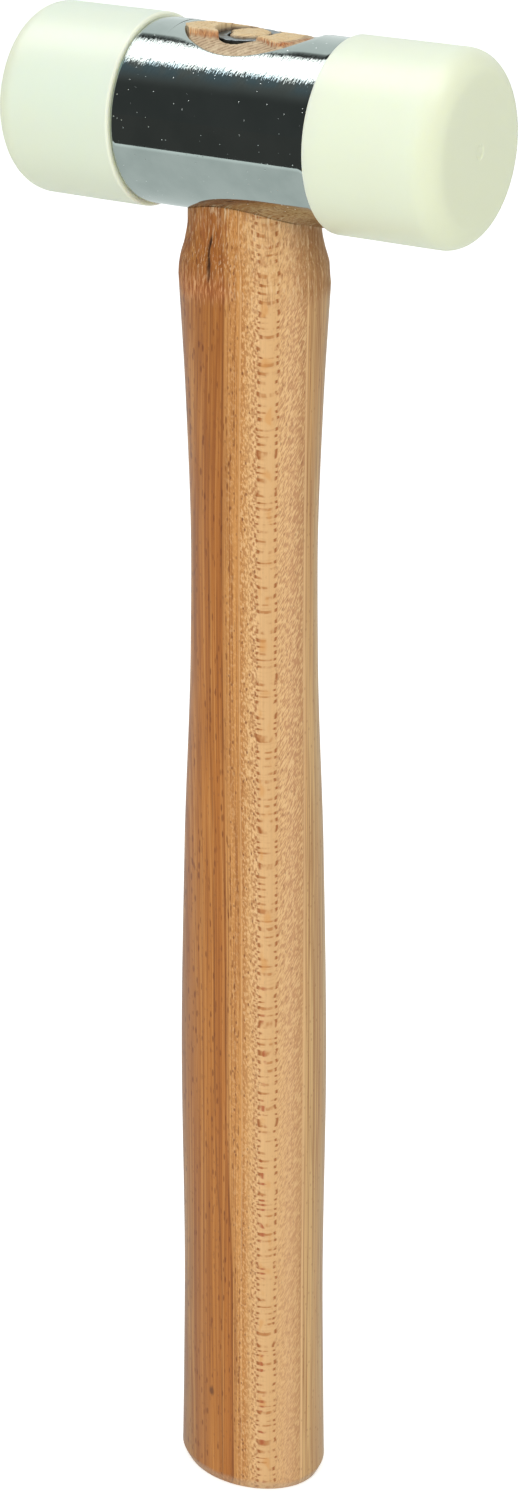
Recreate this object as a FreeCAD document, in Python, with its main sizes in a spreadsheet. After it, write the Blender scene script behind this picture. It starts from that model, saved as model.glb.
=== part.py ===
"""Soft-face hammer: a chromed tube head with two screw-in nylon tips on a wooden handle.

The frame: +Z runs up the handle to the head, +X runs along the head to the right tip, and the
origin is the centre of the handle's butt face. Lengths are in millimetres.
"""
import FreeCAD, Part
import os

import Sketcher

SIZES = [
    # alias, value, what it is
    ("head_height", 283.8, "butt face to the axis of the head"),
    ("tube_length", 40.0, "head tube, end to end"),
    ("tube_radius", 16.7, "head tube, outside"),
    ("tube_wall", 3.2, "head tube, wall"),
    ("tube_edge", 0.5, "chamfer inside each mouth of the tube"),
    ("tip_radius", 17.5, "nylon tip, outside"),
    ("tip_length", 25.6, "nylon tip, seam to striking face"),
    ("tip_round", 4.7, "rounding of the striking face's edge"),
    ("tip_rim", 0.5, "chamfer of the tip's edge at the seam"),
    ("stub_length", 6.2, "threaded stub behind the tip"),
    ("stub_edge", 0.8, "chamfer at the stub's end"),
    ("stub_clearance", 0.08, "radial clearance of the stub in the tube"),
    ("seat_gap", 0.05, "gap between the tube's end and the seated tip"),
    ("gate_radius", 1.3, "moulding gate mark in the striking face"),
    ("gate_depth", 0.2, "depth of the gate mark"),
    ("eye_length", 12.9, "half length of the eye where the tube is widest, at the crown"),
    ("eye_width", 9.5, "half width of the eye at the crown"),
    ("eye_taper", 0.4, "how much each half size of the eye shrinks down to the shoulder"),
    ("eye_reach", 18.0, "half height over which the eye's taper is drawn"),
    ("tenon_sink", 0.3, "depth of the tenon's end below the tube's surface"),
    ("tenon_root", 20.0, "depth of the tenon's root below the axis of the head"),
    ("ring_offset", -1.0, "ring wedge, off the middle of the tenon along X"),
    ("ring_height", 15.6, "top of the ring wedge above the axis of the head"),
    ("ring_length", 16.0, "ring wedge, top to cutting edge"),
    ("ring_radius", 5.85, "ring wedge, outside at the top"),
    ("ring_bore", 3.95, "ring wedge, inside radius"),
    ("ring_edge", 0.3, "ring wedge, wall left at the cutting edge"),
    ("ring_chamfer", 0.25, "chamfer round the ring wedge's top"),
    ("ring_slit", 3.0, "reach of the ring wedge's slit above the ring's top"),
    ("butt_bevel", 1.2, "width of the bevel below the lowest section of the grip"),
]

# Sections of the handle from the butt up: name, height, half length along X, half width along Y.
GRIP_SECTIONS = [
    ("butt", 2.7, 15.75, 12.45),
    ("heel", 20.0, 15.42, 12.2),
    ("low_waist", 50.0, 15.05, 11.9),
    ("swell", 91.0, 15.35, 12.15),
    ("upper_grip", 141.0, 14.4, 11.4),
    ("taper", 182.0, 12.85, 10.15),
    ("waist", 203.0, 12.62, 9.95),
    ("flare", 232.0, 13.45, 10.6),
    ("bulge", 255.5, 14.72, 11.55),
]

# Sections of the cone that goes on from the bulge up to the head, in the same form.
NECK_SECTIONS = [
    ("cone_low", 258.6, 14.45, 11.3),
    ("cone_high", 262.0, 13.6, 10.35),
    ("shoulder", 265.8, 13.0, 9.75),
    ("collar", 272.0, 12.95, 9.6),
]

UPRIGHT = FreeCAD.Rotation()
HALF_TURN = FreeCAD.Rotation(FreeCAD.Vector(0, 0, 1), 180)
ALONG_X = FreeCAD.Rotation(FreeCAD.Vector(0, 1, 0), 90)

# A sketch's own axes, as constraints number them.
ACROSS_AXIS = -1
UP_AXIS = -2


def add_sheet(doc):
    """The sheet of driving dimensions, one row each: the name, the value and what it is."""
    sheet = doc.addObject("Spreadsheet::Sheet", "Sizes")
    rows = list(SIZES)
    for name, height, half_length, half_width in GRIP_SECTIONS + NECK_SECTIONS:
        rows.append((f"{name}_height", height, f"{name} section of the handle, above the butt"))
        rows.append((f"{name}_length", half_length, f"{name} section, half along X"))
        rows.append((f"{name}_width", half_width, f"{name} section, half along Y"))
    for row, (alias, value, meaning) in enumerate(rows, start=1):
        sheet.set(f"A{row}", alias)
        sheet.set(f"B{row}", str(value))
        sheet.set(f"C{row}", meaning)
        sheet.setAlias(f"B{row}", alias)
    doc.recompute()
    return sheet


def bind(item, **expressions):
    """Bind properties to the sheet. A double underscore stands for a dot in a property's name."""
    for name, expression in expressions.items():
        item.setExpression(name.replace("__", "."), expression)


def cells(expression):
    """Every alias in an expression is written $alias here, and read from the sheet."""
    return expression.replace("$", "Sizes.")


def origin_plane(body, role):
    """The body's own origin plane of that role."""
    for feature in body.Origin.OriginFeatures:
        if feature.Role == role:
            return feature
    raise ValueError(f"{body.Name} has no {role}")


def outline(body, name, corners):
    """A closed outline on the body's XZ plane, from the expressions of its corners.

    Each corner is a pair (across, up). A coordinate of "0" puts the corner on that axis.
    """
    sketch = body.newObject("Sketcher::SketchObject", name)
    sketch.AttachmentSupport = [(origin_plane(body, "XZ_Plane"), "")]
    sketch.MapMode = "FlatFace"
    count = len(corners)
    rough = [FreeCAD.Vector(10.0 + index, 10.0 + index * index, 0) for index in range(count)]
    for index in range(count):
        sketch.addGeometry(Part.LineSegment(rough[index], rough[(index + 1) % count]), False)
    for index in range(count):
        follower = (index + 1) % count
        sketch.addConstraint(Sketcher.Constraint("Coincident", index, 2, follower, 1))
    for index, (across, up) in enumerate(corners):
        for kind, zero_axis, at, expression in (
            ("DistanceX", UP_AXIS, rough[index].x, across),
            ("DistanceY", ACROSS_AXIS, rough[index].y, up),
        ):
            if expression == "0":
                sketch.addConstraint(Sketcher.Constraint("PointOnObject", index, 1, zero_axis))
                continue
            number = sketch.addConstraint(Sketcher.Constraint(kind, index, 1, at))
            sketch.setExpression(f"Constraints[{number}]", cells(expression))
    return sketch


def turned_body(doc, name, axis, corners):
    """A body turned from one outline, about its own X axis ("H_Axis") or Z axis ("V_Axis")."""
    body = doc.addObject("PartDesign::Body", name)
    sketch = outline(body, f"{name}_outline", corners)
    turned = body.newObject("PartDesign::Revolution", f"{name}_turned")
    turned.Profile = sketch
    turned.ReferenceAxis = (sketch, [axis])
    turned.Angle = 360.0
    doc.recompute()
    return body


def ellipse_section(doc, name, height, half_length, half_width):
    """A level ellipse at a height, long along X."""
    section = doc.addObject("Part::Ellipse", name)
    bind(
        section,
        MajorRadius=cells(half_length),
        MinorRadius=cells(half_width),
        Placement__Base__z=cells(height),
    )
    return section


def handle_sections(doc, sections):
    """The ellipses of a run of named handle sections."""
    return [
        ellipse_section(doc, f"at_{name}", f"${name}_height", f"${name}_length", f"${name}_width")
        for name, *_ in sections
    ]


def loft(doc, name, sections, ruled=False):
    """A closed solid through level sections."""
    solid = doc.addObject("Part::Loft", name)
    solid.Sections = sections
    solid.Solid = True
    solid.Ruled = ruled
    return solid


def boolean(doc, kind, name, base, tool):
    """Cut, Common or Fuse of two objects."""
    result = doc.addObject(f"Part::{kind}", name)
    result.Base = base
    result.Tool = tool
    return result


def eye_prism(doc):
    """The tapered oval that the tenon fills, which widens towards the crown of the head."""
    low = ellipse_section(
        doc, "eye_low", "$head_height - $eye_reach", "$eye_length - $eye_taper", "$eye_width - $eye_taper"
    )
    high = ellipse_section(doc, "eye_high", "$head_height + $eye_reach", "$eye_length", "$eye_width")
    return loft(doc, "eye_prism", [low, high], ruled=True)


def head_cylinder(doc, name, radius):
    """A cylinder round the head's axis, longer than the handle is thick."""
    cylinder = doc.addObject("Part::Cylinder", name)
    cylinder.Placement = FreeCAD.Placement(FreeCAD.Vector(0, 0, 0), ALONG_X)
    bind(
        cylinder,
        Radius=cells(radius),
        Height=cells("$tube_length"),
        Placement__Base__x=cells("-$tube_length / 2"),
        Placement__Base__z=cells("$head_height"),
    )
    return cylinder


def head_tube(doc, eye):
    """The steel tube: a turned sleeve with an oval eye through its top and bottom walls."""
    inner = "$tube_radius - $tube_wall"
    half = "$tube_length / 2"
    sleeve = turned_body(doc, "sleeve", "H_Axis", [
        (f"-{half}", "$tube_radius - $tube_edge / 2"),
        (f"-{half} + $tube_edge / 2", "$tube_radius"),
        (f"{half} - $tube_edge / 2", "$tube_radius"),
        (half, "$tube_radius - $tube_edge / 2"),
        (half, f"{inner} + $tube_edge"),
        (f"{half} - $tube_edge", inner),
        (f"-{half} + $tube_edge", inner),
        (f"-{half}", f"{inner} + $tube_edge"),
    ])
    bind(sleeve, Placement__Base__z=cells("$head_height"))
    return boolean(doc, "Cut", "head_tube", sleeve, eye)


def striking_edge(turned, sheet):
    """The name of the sharp edge round the turned tip's striking face."""
    radius = float(sheet.get("tip_radius"))
    reach = float(sheet.get("tip_length"))
    for number, edge in enumerate(turned.Shape.Edges, start=1):
        box = edge.BoundBox
        if abs(box.XMin - reach) < 1e-4 and box.XLength < 1e-4 and abs(box.ZMax - radius) < 1e-4:
            return f"Edge{number}"
    raise ValueError("the tip has no sharp striking edge")


def nylon_tip(doc, sheet, name, side, turn):
    """A nylon tip that points along +X from the seam, turned and moved to its side of the head."""
    stub = "$tube_radius - $tube_wall - $stub_clearance"
    tip = turned_body(doc, name, "H_Axis", [
        ("-$stub_length", "0"),
        ("-$stub_length", f"{stub} - $stub_edge"),
        ("-$stub_length + $stub_edge", stub),
        ("0", stub),
        ("0", "$tip_radius - $tip_rim"),
        ("$tip_rim", "$tip_radius"),
        ("$tip_length", "$tip_radius"),
        ("$tip_length", "$gate_radius"),
        ("$tip_length - $gate_depth", "$gate_radius"),
        ("$tip_length - $gate_depth", "0"),
    ])
    turned = tip.Tip
    rounding = tip.newObject("PartDesign::Fillet", f"{name}_round")
    rounding.Base = (turned, [striking_edge(turned, sheet)])
    bind(rounding, Radius=cells("$tip_round"))
    tip.Placement = FreeCAD.Placement(FreeCAD.Vector(0, 0, 0), turn)
    bind(
        tip,
        Placement__Base__x=cells(f"{side} * ($tube_length / 2 + $seat_gap)"),
        Placement__Base__z=cells("$head_height"),
    )
    return tip


def ring_body(doc, name, top_corners):
    """A form of the ring wedge, whose zero is the ring's top. It thins down to a cutting edge."""
    ring = turned_body(doc, name, "V_Axis", [
        ("$ring_bore", "-$ring_length"),
        ("$ring_bore + $ring_edge", "-$ring_length"),
        ("$ring_radius", "-$ring_chamfer"),
        *top_corners,
    ])
    bind(
        ring,
        Placement__Base__x=cells("$ring_offset"),
        Placement__Base__z=cells("$head_height + $ring_height"),
    )
    return ring


def ring_wedge(doc):
    """The steel ring driven into the tenon's end."""
    return ring_body(doc, "ring_wedge", [("$ring_radius - $ring_chamfer", "0"), ("$ring_bore", "0")])


def handle(doc, eye):
    """The wooden handle: grip, cone, saddle against the tube, and tenon slit by the ring wedge."""
    grip = handle_sections(doc, GRIP_SECTIONS)
    grip_loft = loft(doc, "grip", grip)
    butt_face = ellipse_section(
        doc, "butt_face", "0", "$butt_length - $butt_bevel", "$butt_width - $butt_bevel"
    )
    butt = loft(doc, "butt", [butt_face, grip[0]], ruled=True)
    neck_loft = loft(doc, "neck", [grip[-1]] + handle_sections(doc, NECK_SECTIONS))
    tube_space = head_cylinder(doc, "tube_space", "$tube_radius")
    saddle = boolean(doc, "Cut", "saddle", neck_loft, tube_space)

    crown = head_cylinder(doc, "crown", "$tube_radius - $tenon_sink")
    root = doc.addObject("Part::Box", "tenon_root_box")
    bind(
        root,
        Length=cells("$tube_length"),
        Width=cells("$tube_radius * 2"),
        Height=cells("$tenon_root"),
        Placement__Base__x=cells("-$tube_length / 2"),
        Placement__Base__y=cells("-$tube_radius"),
        Placement__Base__z=cells("$head_height - $tenon_root"),
    )
    tenon = boolean(doc, "Common", "tenon", eye, boolean(doc, "Fuse", "tenon_space", crown, root))
    slit = ring_body(doc, "ring_slit", [("$ring_radius", "$ring_slit"), ("$ring_bore", "$ring_slit")])
    slit_tenon = boolean(doc, "Cut", "slit_tenon", tenon, slit)

    whole = doc.addObject("Part::MultiFuse", "whole_handle")
    whole.Shapes = [butt, grip_loft, saddle, slit_tenon]
    refined = doc.addObject("Part::Refine", "handle")
    refined.Source = whole
    return refined


def check(doc, nodes):
    """Stop if any object failed, or any node isn't one valid solid."""
    for item in doc.Objects:
        if "Invalid" in item.State or "Error" in item.State:
            raise RuntimeError(f"{item.Name} failed: {item.State}")
    for label, node in nodes.items():
        shape = node.Shape
        if shape.isNull() or not shape.isValid() or len(shape.Solids) != 1:
            raise RuntimeError(f"{label} isn't one valid solid")


def main():
    """Build the hammer, check it and write one file for each piece."""
    doc = FreeCAD.newDocument("soft_face_hammer")
    sheet = add_sheet(doc)
    eye = eye_prism(doc)
    nodes = {
        "head_tube": head_tube(doc, eye),
        "tip_right": nylon_tip(doc, sheet, "tip_right", 1, UPRIGHT),
        "tip_left": nylon_tip(doc, sheet, "tip_left", -1, HALF_TURN),
        "ring_wedge": ring_wedge(doc),
        "handle": handle(doc, eye),
    }
    doc.recompute()
    check(doc, nodes)
    os.makedirs("parts", exist_ok=True)
    for label, node in nodes.items():
        node.Label = label
        node.Shape.exportStep(f"parts/{label}.step")
        print(f"{label}: {node.Shape.Volume:.0f} mm3")


main()
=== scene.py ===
import math

import bmesh
import bpy
import numpy as np
from mathutils import Matrix, Vector, noise

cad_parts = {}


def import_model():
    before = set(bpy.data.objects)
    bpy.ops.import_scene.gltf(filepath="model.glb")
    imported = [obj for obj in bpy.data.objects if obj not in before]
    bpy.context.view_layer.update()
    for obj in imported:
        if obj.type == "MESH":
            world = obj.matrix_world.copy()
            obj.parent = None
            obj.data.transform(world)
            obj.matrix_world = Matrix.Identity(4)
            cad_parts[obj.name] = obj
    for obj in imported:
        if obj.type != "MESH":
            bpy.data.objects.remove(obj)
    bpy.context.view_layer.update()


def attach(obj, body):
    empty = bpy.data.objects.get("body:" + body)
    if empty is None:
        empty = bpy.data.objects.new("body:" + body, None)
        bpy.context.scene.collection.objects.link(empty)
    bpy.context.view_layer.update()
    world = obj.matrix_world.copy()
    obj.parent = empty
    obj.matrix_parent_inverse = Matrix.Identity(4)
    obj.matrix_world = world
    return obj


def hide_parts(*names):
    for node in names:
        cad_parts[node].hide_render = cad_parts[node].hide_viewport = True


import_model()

# A soft-face hammer: X runs along the head, Z up the handle, and the butt's face is at 0. Meshes are
# worked out in millimetres and stored in metres.
MM = 0.001
HEAD = 283.8            # height of the head's axis

# Head tube, and the eye through it: half length along X, half width, taper, and reach from the axis.
TUBE_R, BORE_R, TUBE_HALF = 16.7, 13.5, 20.0
EYE_A, EYE_B, EYE_TAPER, EYE_REACH = 12.9, 9.5, 0.4, 18.0
EYE_ROLL = 0.45         # the rolled edge of the eye
MOUTH_ROLL = 0.3        # the rounded mouth at each end of the tube
PLATE_REACH = 14.2      # the eyes' plates run this far along X, and the sleeves from there on
PLATE_ARC = TUBE_R * math.pi / 2        # and this far round the tube, each way from its crown

# Tips.
TIP_R, TIP_LENGTH, TIP_RIM, TIP_EDGE = 17.5, 25.6, 0.5, 4.7
SEAT_GAP = 0.05         # between a tip's seat and the tube's end
STUB, STUB_R = 6.2, 12.75
GATE_SINK = 0.16        # how far the gate mark's middle is below the face
PITCH, THREAD_ROWS = 1.5, 44
THREAD_IN, THREAD_OUT = 0.7, 0.6       # from the stub's end to the thread, and from it to the seat
STUB_TOOTH, BORE_TOOTH = 0.62, 0.45

# Ring wedge.
RING_X, RING_R, RING_BORE, RING_TOP, RING_LENGTH = -1.0, 5.85, 3.95, 15.6, 16.0
RING_EDGE, RING_CHAMFER = 0.3, 0.22

# The handle's sections: height, half length along X, half width along Y.
BULGE = 255.5
GRIP = ((2.7, 15.75, 12.45), (20.0, 15.42, 12.2), (50.0, 15.05, 11.9), (91.0, 15.35, 12.15),
        (141.0, 14.4, 11.4), (182.0, 12.85, 10.15), (203.0, 12.62, 9.95), (232.0, 13.45, 10.6),
        (BULGE, 14.72, 11.55))
NECK = ((BULGE, 14.72, 11.55), (258.6, 14.45, 11.3), (262.0, 13.6, 10.35), (265.8, 13.0, 9.75),
        (272.0, 12.95, 9.6))
BUTT_INSET, BUTT_HEIGHT = 1.2, 2.7     # the bevel round the butt
WOOD_GAP = 0.03         # between the tenon and the eye
SKIN_R = 16.4           # the tenon's end, where it follows the tube
RAISED_LEFT, RAISED_RIGHT = 16.8, 16.3 # heights of the platform in its middle
ISLAND_TOP = 16.1       # the wood inside the ring wedge
COLUMNS = 256           # points round the handle

# The growth rings lie across the handle at a slant: u runs along them and d across them.
GRAIN_X, GRAIN_Y = 0.74, 0.67
TORN_FROM, TORN_TO = -5.0, -7.5        # the torn patch on the left starts at the first of these in u
KNOT_U, KNOT_Z = -10.0, 21.8           # a small knot near the butt


# ---------------------------------------------------------------- numbers

def smooth(low, high, value):
    """0 below low, 1 above high, and a smooth rise between them."""
    part = np.clip((value - low) / (high - low), 0.0, 1.0)
    return part * part * (3.0 - 2.0 * part)


def bell(centre, width, value):
    """1 at the centre, falling off over about the width."""
    return np.exp(-((value - centre) / width) ** 2)


def rough(points, size, seed, octaves):
    """Fractal noise of about -1 to 1 at millimetre points, with features of about that size.
    A size may be one number or three."""
    scale = np.array(size, float) * np.ones(3)
    flat = np.asarray(points, float).reshape(-1, 3) / scale + seed
    out = [noise.fractal(Vector(p), 0.9, 2.0, octaves) for p in flat]
    return np.array(out).reshape(np.asarray(points).shape[:-1])


def through(table, heights, column):
    """A monotone cubic curve through one column of a section table."""
    z = np.array([row[0] for row in table])
    size = np.array([row[column] for row in table])
    gap, slope = np.diff(z), np.diff(size) / np.diff(z)
    lean = np.zeros(len(z))
    for i in range(1, len(z) - 1):
        if slope[i - 1] * slope[i] > 0:
            before, after = 2 * gap[i] + gap[i - 1], gap[i] + 2 * gap[i - 1]
            lean[i] = (before + after) / (before / slope[i - 1] + after / slope[i])
    lean[0], lean[-1] = slope[0], slope[-1]
    i = np.clip(np.searchsorted(z, heights, side="right") - 1, 0, len(z) - 2)
    t = (np.asarray(heights) - z[i]) / gap[i]
    return ((2 * t**3 - 3 * t**2 + 1) * size[i] + (t**3 - 2 * t**2 + t) * gap[i] * lean[i]
            + (3 * t**2 - 2 * t**3) * size[i + 1] + (t**3 - t**2) * gap[i] * lean[i + 1])


def arc_steps(count):
    """Angles of a quarter turn."""
    return [math.pi / 2 * i / count for i in range(count + 1)]


def full_turn(count):
    """Angles of a full turn, without the last."""
    return np.arange(count) * 2 * math.pi / count


def thread(along, turns):
    """A screw thread at a place along its axis: 1 at the angle of a crest, 0 midway between two."""
    phase = along / PITCH - turns / (2 * math.pi)
    return np.abs(phase - np.floor(phase) - 0.5) * 2


# ---------------------------------------------------------------- meshes

def net(bm, rows, start=None, end=None):
    """Quads over rows of points that run right round, with a point to close either end."""
    rings = [[bm.verts.new(Vector(p) * MM) for p in row] for row in rows]
    for low, high in zip(rings, rings[1:]):
        count = len(low)
        for i in range(count):
            j = (i + 1) % count
            bm.faces.new((low[i], low[j], high[j], high[i]))
    for ring, point in ((rings[0], start), (rings[-1], end)):
        if point is not None:
            centre = bm.verts.new(Vector(point) * MM)
            for i in range(len(ring)):
                bm.faces.new((ring[i], ring[(i + 1) % len(ring)], centre))


def placed(name, bm, material):
    """The finished mesh as an object in the scene."""
    mesh = bpy.data.meshes.new(name)
    bm.to_mesh(mesh)
    bm.free()
    mesh.materials.append(material)
    made = bpy.data.objects.new(name, mesh)
    bpy.context.scene.collection.objects.link(made)
    return made


def piece(bm, name, body, slot_name, material, *nodes):
    """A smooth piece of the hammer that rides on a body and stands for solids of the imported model."""
    bmesh.ops.remove_doubles(bm, verts=bm.verts, dist=1e-7)
    bmesh.ops.recalc_face_normals(bm, faces=bm.faces)
    made = placed(name, bm, material)
    made.data.shade_smooth()
    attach(made, body)
    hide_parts(*nodes)


# ---------------------------------------------------------------- material arithmetic

def rgb(code):
    """A hex colour as scene-linear numbers."""
    parts = [int(code[i:i + 2], 16) / 255 for i in (1, 3, 5)]
    return (*(c / 12.92 if c <= 0.04045 else ((c + 0.055) / 1.055) ** 2.4 for c in parts), 1.0)


def set_input(tree, socket, item):
    """Gives an input a value that varies, or a plain number."""
    if isinstance(item, Value):
        tree.links.new(item.socket, socket)
    else:
        socket.default_value = item


class Value:
    """A number that varies over a surface, or with direction, and takes Python's own arithmetic."""

    def __init__(self, tree, socket):
        self.tree, self.socket = tree, socket

    def calc(self, operation, *others):
        """The result of a Math node."""
        node = self.tree.nodes.new("ShaderNodeMath")
        node.operation = operation
        for i, item in enumerate((self, *others)):
            set_input(self.tree, node.inputs[i], item)
        return Value(self.tree, node.outputs[0])

    def __add__(self, other):
        return self.calc("ADD", other)

    def __sub__(self, other):
        return self.calc("SUBTRACT", other)

    def __mul__(self, other):
        return self.calc("MULTIPLY", other)

    def __truediv__(self, other):
        return self.calc("DIVIDE", other)

    def __abs__(self):
        return self.calc("ABSOLUTE")

    def bearing(self, other):
        """The angle in degrees whose tangent is this over the other."""
        return self.calc("ARCTAN2", other) * (180 / math.pi)

    def rise(self, low, high):
        """0 at low and 1 at high, smooth between; low may be above high."""
        node = self.tree.nodes.new("ShaderNodeMapRange")
        node.interpolation_type = "SMOOTHSTEP"
        self.tree.links.new(self.socket, node.inputs["Value"])
        flip = low > high
        node.inputs["From Min"].default_value = high if flip else low
        node.inputs["From Max"].default_value = low if flip else high
        node.inputs["To Min"].default_value = 1.0 if flip else 0.0
        node.inputs["To Max"].default_value = 0.0 if flip else 1.0
        return Value(self.tree, node.outputs["Result"])

    def bump_at(self, centre, width):
        """1 where this is at the centre, and 0 a width away on either side."""
        return abs(self - centre).rise(width, 0.0)


def position(tree, output):
    """The three parts of a texture coordinate."""
    where = tree.nodes.new("ShaderNodeTexCoord")
    split = tree.nodes.new("ShaderNodeSeparateXYZ")
    tree.links.new(where.outputs[output], split.inputs[0])
    return [Value(tree, socket) for socket in split.outputs]


class Look:
    """A node material built round one Principled shader, with x, y and z in millimetres."""

    def __init__(self, name, **constants):
        self.material = bpy.data.materials.new(name)
        self.material.use_nodes = True
        self.tree = self.material.node_tree
        self.shader = self.tree.nodes["Principled BSDF"]
        for key, value in constants.items():
            self.shader.inputs[key.replace("_", " ")].default_value = value
        self.x, self.y, self.z = (part * (1 / MM) for part in position(self.tree, "Object"))

    def join(self, *parts):
        """A vector socket from three values or numbers."""
        node = self.tree.nodes.new("ShaderNodeCombineXYZ")
        for i, part in enumerate(parts):
            set_input(self.tree, node.inputs[i], part)
        return node.outputs[0]

    def noise(self, x, y, z, detail=2.0, roughness=0.5):
        """Fractal noise of 0 to 1, with features about 1 across."""
        node = self.tree.nodes.new("ShaderNodeTexNoise")
        self.tree.links.new(self.join(x, y, z), node.inputs["Vector"])
        node.inputs["Scale"].default_value = 1.0
        node.inputs["Detail"].default_value = detail
        node.inputs["Roughness"].default_value = roughness
        return Value(self.tree, node.outputs["Fac"])

    def cells(self, x, y, z):
        """The distance to the nearest of scattered points about 1 apart."""
        node = self.tree.nodes.new("ShaderNodeTexVoronoi")
        self.tree.links.new(self.join(x, y, z), node.inputs["Vector"])
        node.inputs["Scale"].default_value = 1.0
        return Value(self.tree, node.outputs["Distance"])

    def painted(self, name):
        """A number stored on the mesh's points."""
        node = self.tree.nodes.new("ShaderNodeAttribute")
        node.attribute_name = name
        return Value(self.tree, node.outputs["Fac"])

    def ramp(self, value, stops):
        """Colours along a value; stops are (place from 0 to 1, hex colour)."""
        node = self.tree.nodes.new("ShaderNodeValToRGB")
        self.tree.links.new(value.socket, node.inputs["Fac"])
        marks = node.color_ramp.elements
        while len(marks) < len(stops):
            marks.new(0.5)
        for mark, (place, colour) in zip(marks, stops):
            mark.position, mark.color = place, rgb(colour)
        return node.outputs["Color"]

    def mix(self, share, first, second):
        """first where share is 0 and second where it is 1; each a colour socket or a hex colour."""
        node = self.tree.nodes.new("ShaderNodeMix")
        node.data_type = "RGBA"
        self.tree.links.new(share.socket, node.inputs[0])
        for socket, item in ((node.inputs[6], first), (node.inputs[7], second)):
            if isinstance(item, str):
                socket.default_value = rgb(item)
            else:
                self.tree.links.new(item, socket)
        return node.outputs[2]

    def bump(self, height, distance):
        """Surface relief, from a height of 0 to 1 that stands for that many millimetres."""
        node = self.tree.nodes.new("ShaderNodeBump")
        node.inputs["Strength"].default_value = 1.0
        node.inputs["Distance"].default_value = distance * MM
        self.tree.links.new(height.socket, node.inputs["Height"])
        self.tree.links.new(node.outputs["Normal"], self.shader.inputs["Normal"])

    def drive(self, name, value):
        """Links a value or a colour socket to one of the shader's inputs."""
        socket = value.socket if isinstance(value, Value) else value
        self.tree.links.new(socket, self.shader.inputs[name])


# ---------------------------------------------------------------- nylon, chrome, steel

def nylon_look():
    """Natural cast nylon: milky, slightly green, waxy; painted shade low down, a yellower face that is
    partly painted shade, and a painted highlight, a little yellow, on the rim at each seam.
    """
    look = Look("natural_nylon", IOR=1.53, Subsurface_Weight=0.4, Subsurface_Radius=(1.0, 0.95, 0.6),
                Subsurface_Scale=0.004, Specular_IOR_Level=0.4)
    x, y, z = look.x, look.y, look.z
    cloud = look.noise(x * 0.05, y * 0.05, z * 0.05, 3.0)
    grain = look.noise(x * 0.9, y * 0.9, z * 0.9, 4.0)
    face = TUBE_HALF + TIP_LENGTH
    colour = look.mix(x.rise(-10.0, 26.0), "#DFEBDA", "#E7EFD8")
    colour = look.mix(cloud.rise(0.35, 0.7) * 0.5, colour, "#E6EBD6")
    # Painted shade: darker, and yellower, towards the bottom of the tips.
    colour = look.mix(z.rise(HEAD + 14.0, HEAD - 16.0) * 0.6, colour, "#D3D7BC")
    # Darker and yellower on the end face; the darkening is painted shade.
    colour = look.mix(abs(x).rise(face - 5.5, face - 0.6) * 0.75, colour, "#DEE2C4")
    # Painted highlight on the rounded rim at each seam.
    colour = look.mix(abs(x).rise(TUBE_HALF + 0.6, TUBE_HALF + 0.25), colour, "#EDF2D8")
    look.drive("Base Color", colour)
    look.drive("Roughness", grain * 0.14 + 0.28)
    look.bump(grain * 0.7 + look.noise(x * 0.25, y * 0.25, z * 0.25, 2.0) * 0.6, 0.02)
    return look.material


def chrome_look():
    """Bright plating over a turned tube: fine rings round the axis, brushed rough in a band above the
    middle of each side, with a painted bluish reflection in that band, small pits and a soft bloom."""
    look = Look("bright_chrome", Metallic=1.0)
    x, y, z = look.x, look.y, look.z - HEAD
    high = z.bearing(abs(y))
    lathe = look.noise(x * 3.2, y * 0.05, z * 0.05, 3.0, 0.6)
    brush = look.noise(x * 2.7, y * 0.55, z * 0.55, 2.0, 0.65)
    scuffed = high.rise(32.0, 46.0) * high.rise(64.0, 54.0) * 1.35 + 0.02
    bloom = look.noise(x * 0.16, y * 0.16, z * 0.16, 3.0)
    pits = look.cells(x * 0.8, y * 0.8, z * 0.8).rise(0.11, 0.06)
    pits = pits * look.noise(x * 0.3, y * 0.3, z * 0.3, 2.0).rise(0.42, 0.54)
    colour = look.mix(bloom.rise(0.3, 0.7), "#A8B0AD", "#B2B9B6")
    # Painted reflection: a bluish tint in the band above the middle of each side.
    colour = look.mix(high.bump_at(38.0, 9.0) * bloom.rise(0.4, 0.6) * 0.7, colour, "#90B2C0")
    look.drive("Base Color", look.mix(pits, colour, "#F2F6F4"))
    look.drive("Roughness", bloom * 0.025 + scuffed * 0.02 + pits * 0.4 + 0.025)
    look.bump(lathe * 0.03 + brush * scuffed + pits * 0.4, 0.09)
    return look.material


def steel_look():
    """The ring wedge's plain steel: dark scale, filed bright on the high spots."""
    look = Look("ring_steel", Metallic=1.0, Roughness=0.4)
    x, y, z = look.x, look.y, look.z
    scale = look.noise(x * 0.8, y * 0.8, z * 0.8, 4.0, 0.6)
    filed = look.noise(x * 0.6, y * 5.0, z * 0.6, 2.0)
    colour = look.mix(scale.rise(0.35, 0.7), "#5E6468", "#8E9496")
    colour = look.mix(filed.rise(0.5, 0.75) * 0.5, colour, "#B9BDBD")
    look.drive("Base Color", colour)
    look.drive("Roughness", scale * 0.3 + 0.22)
    look.bump(scale * 0.6 + filed * 0.4, 0.03)
    return look.material


# ---------------------------------------------------------------- wood

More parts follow.
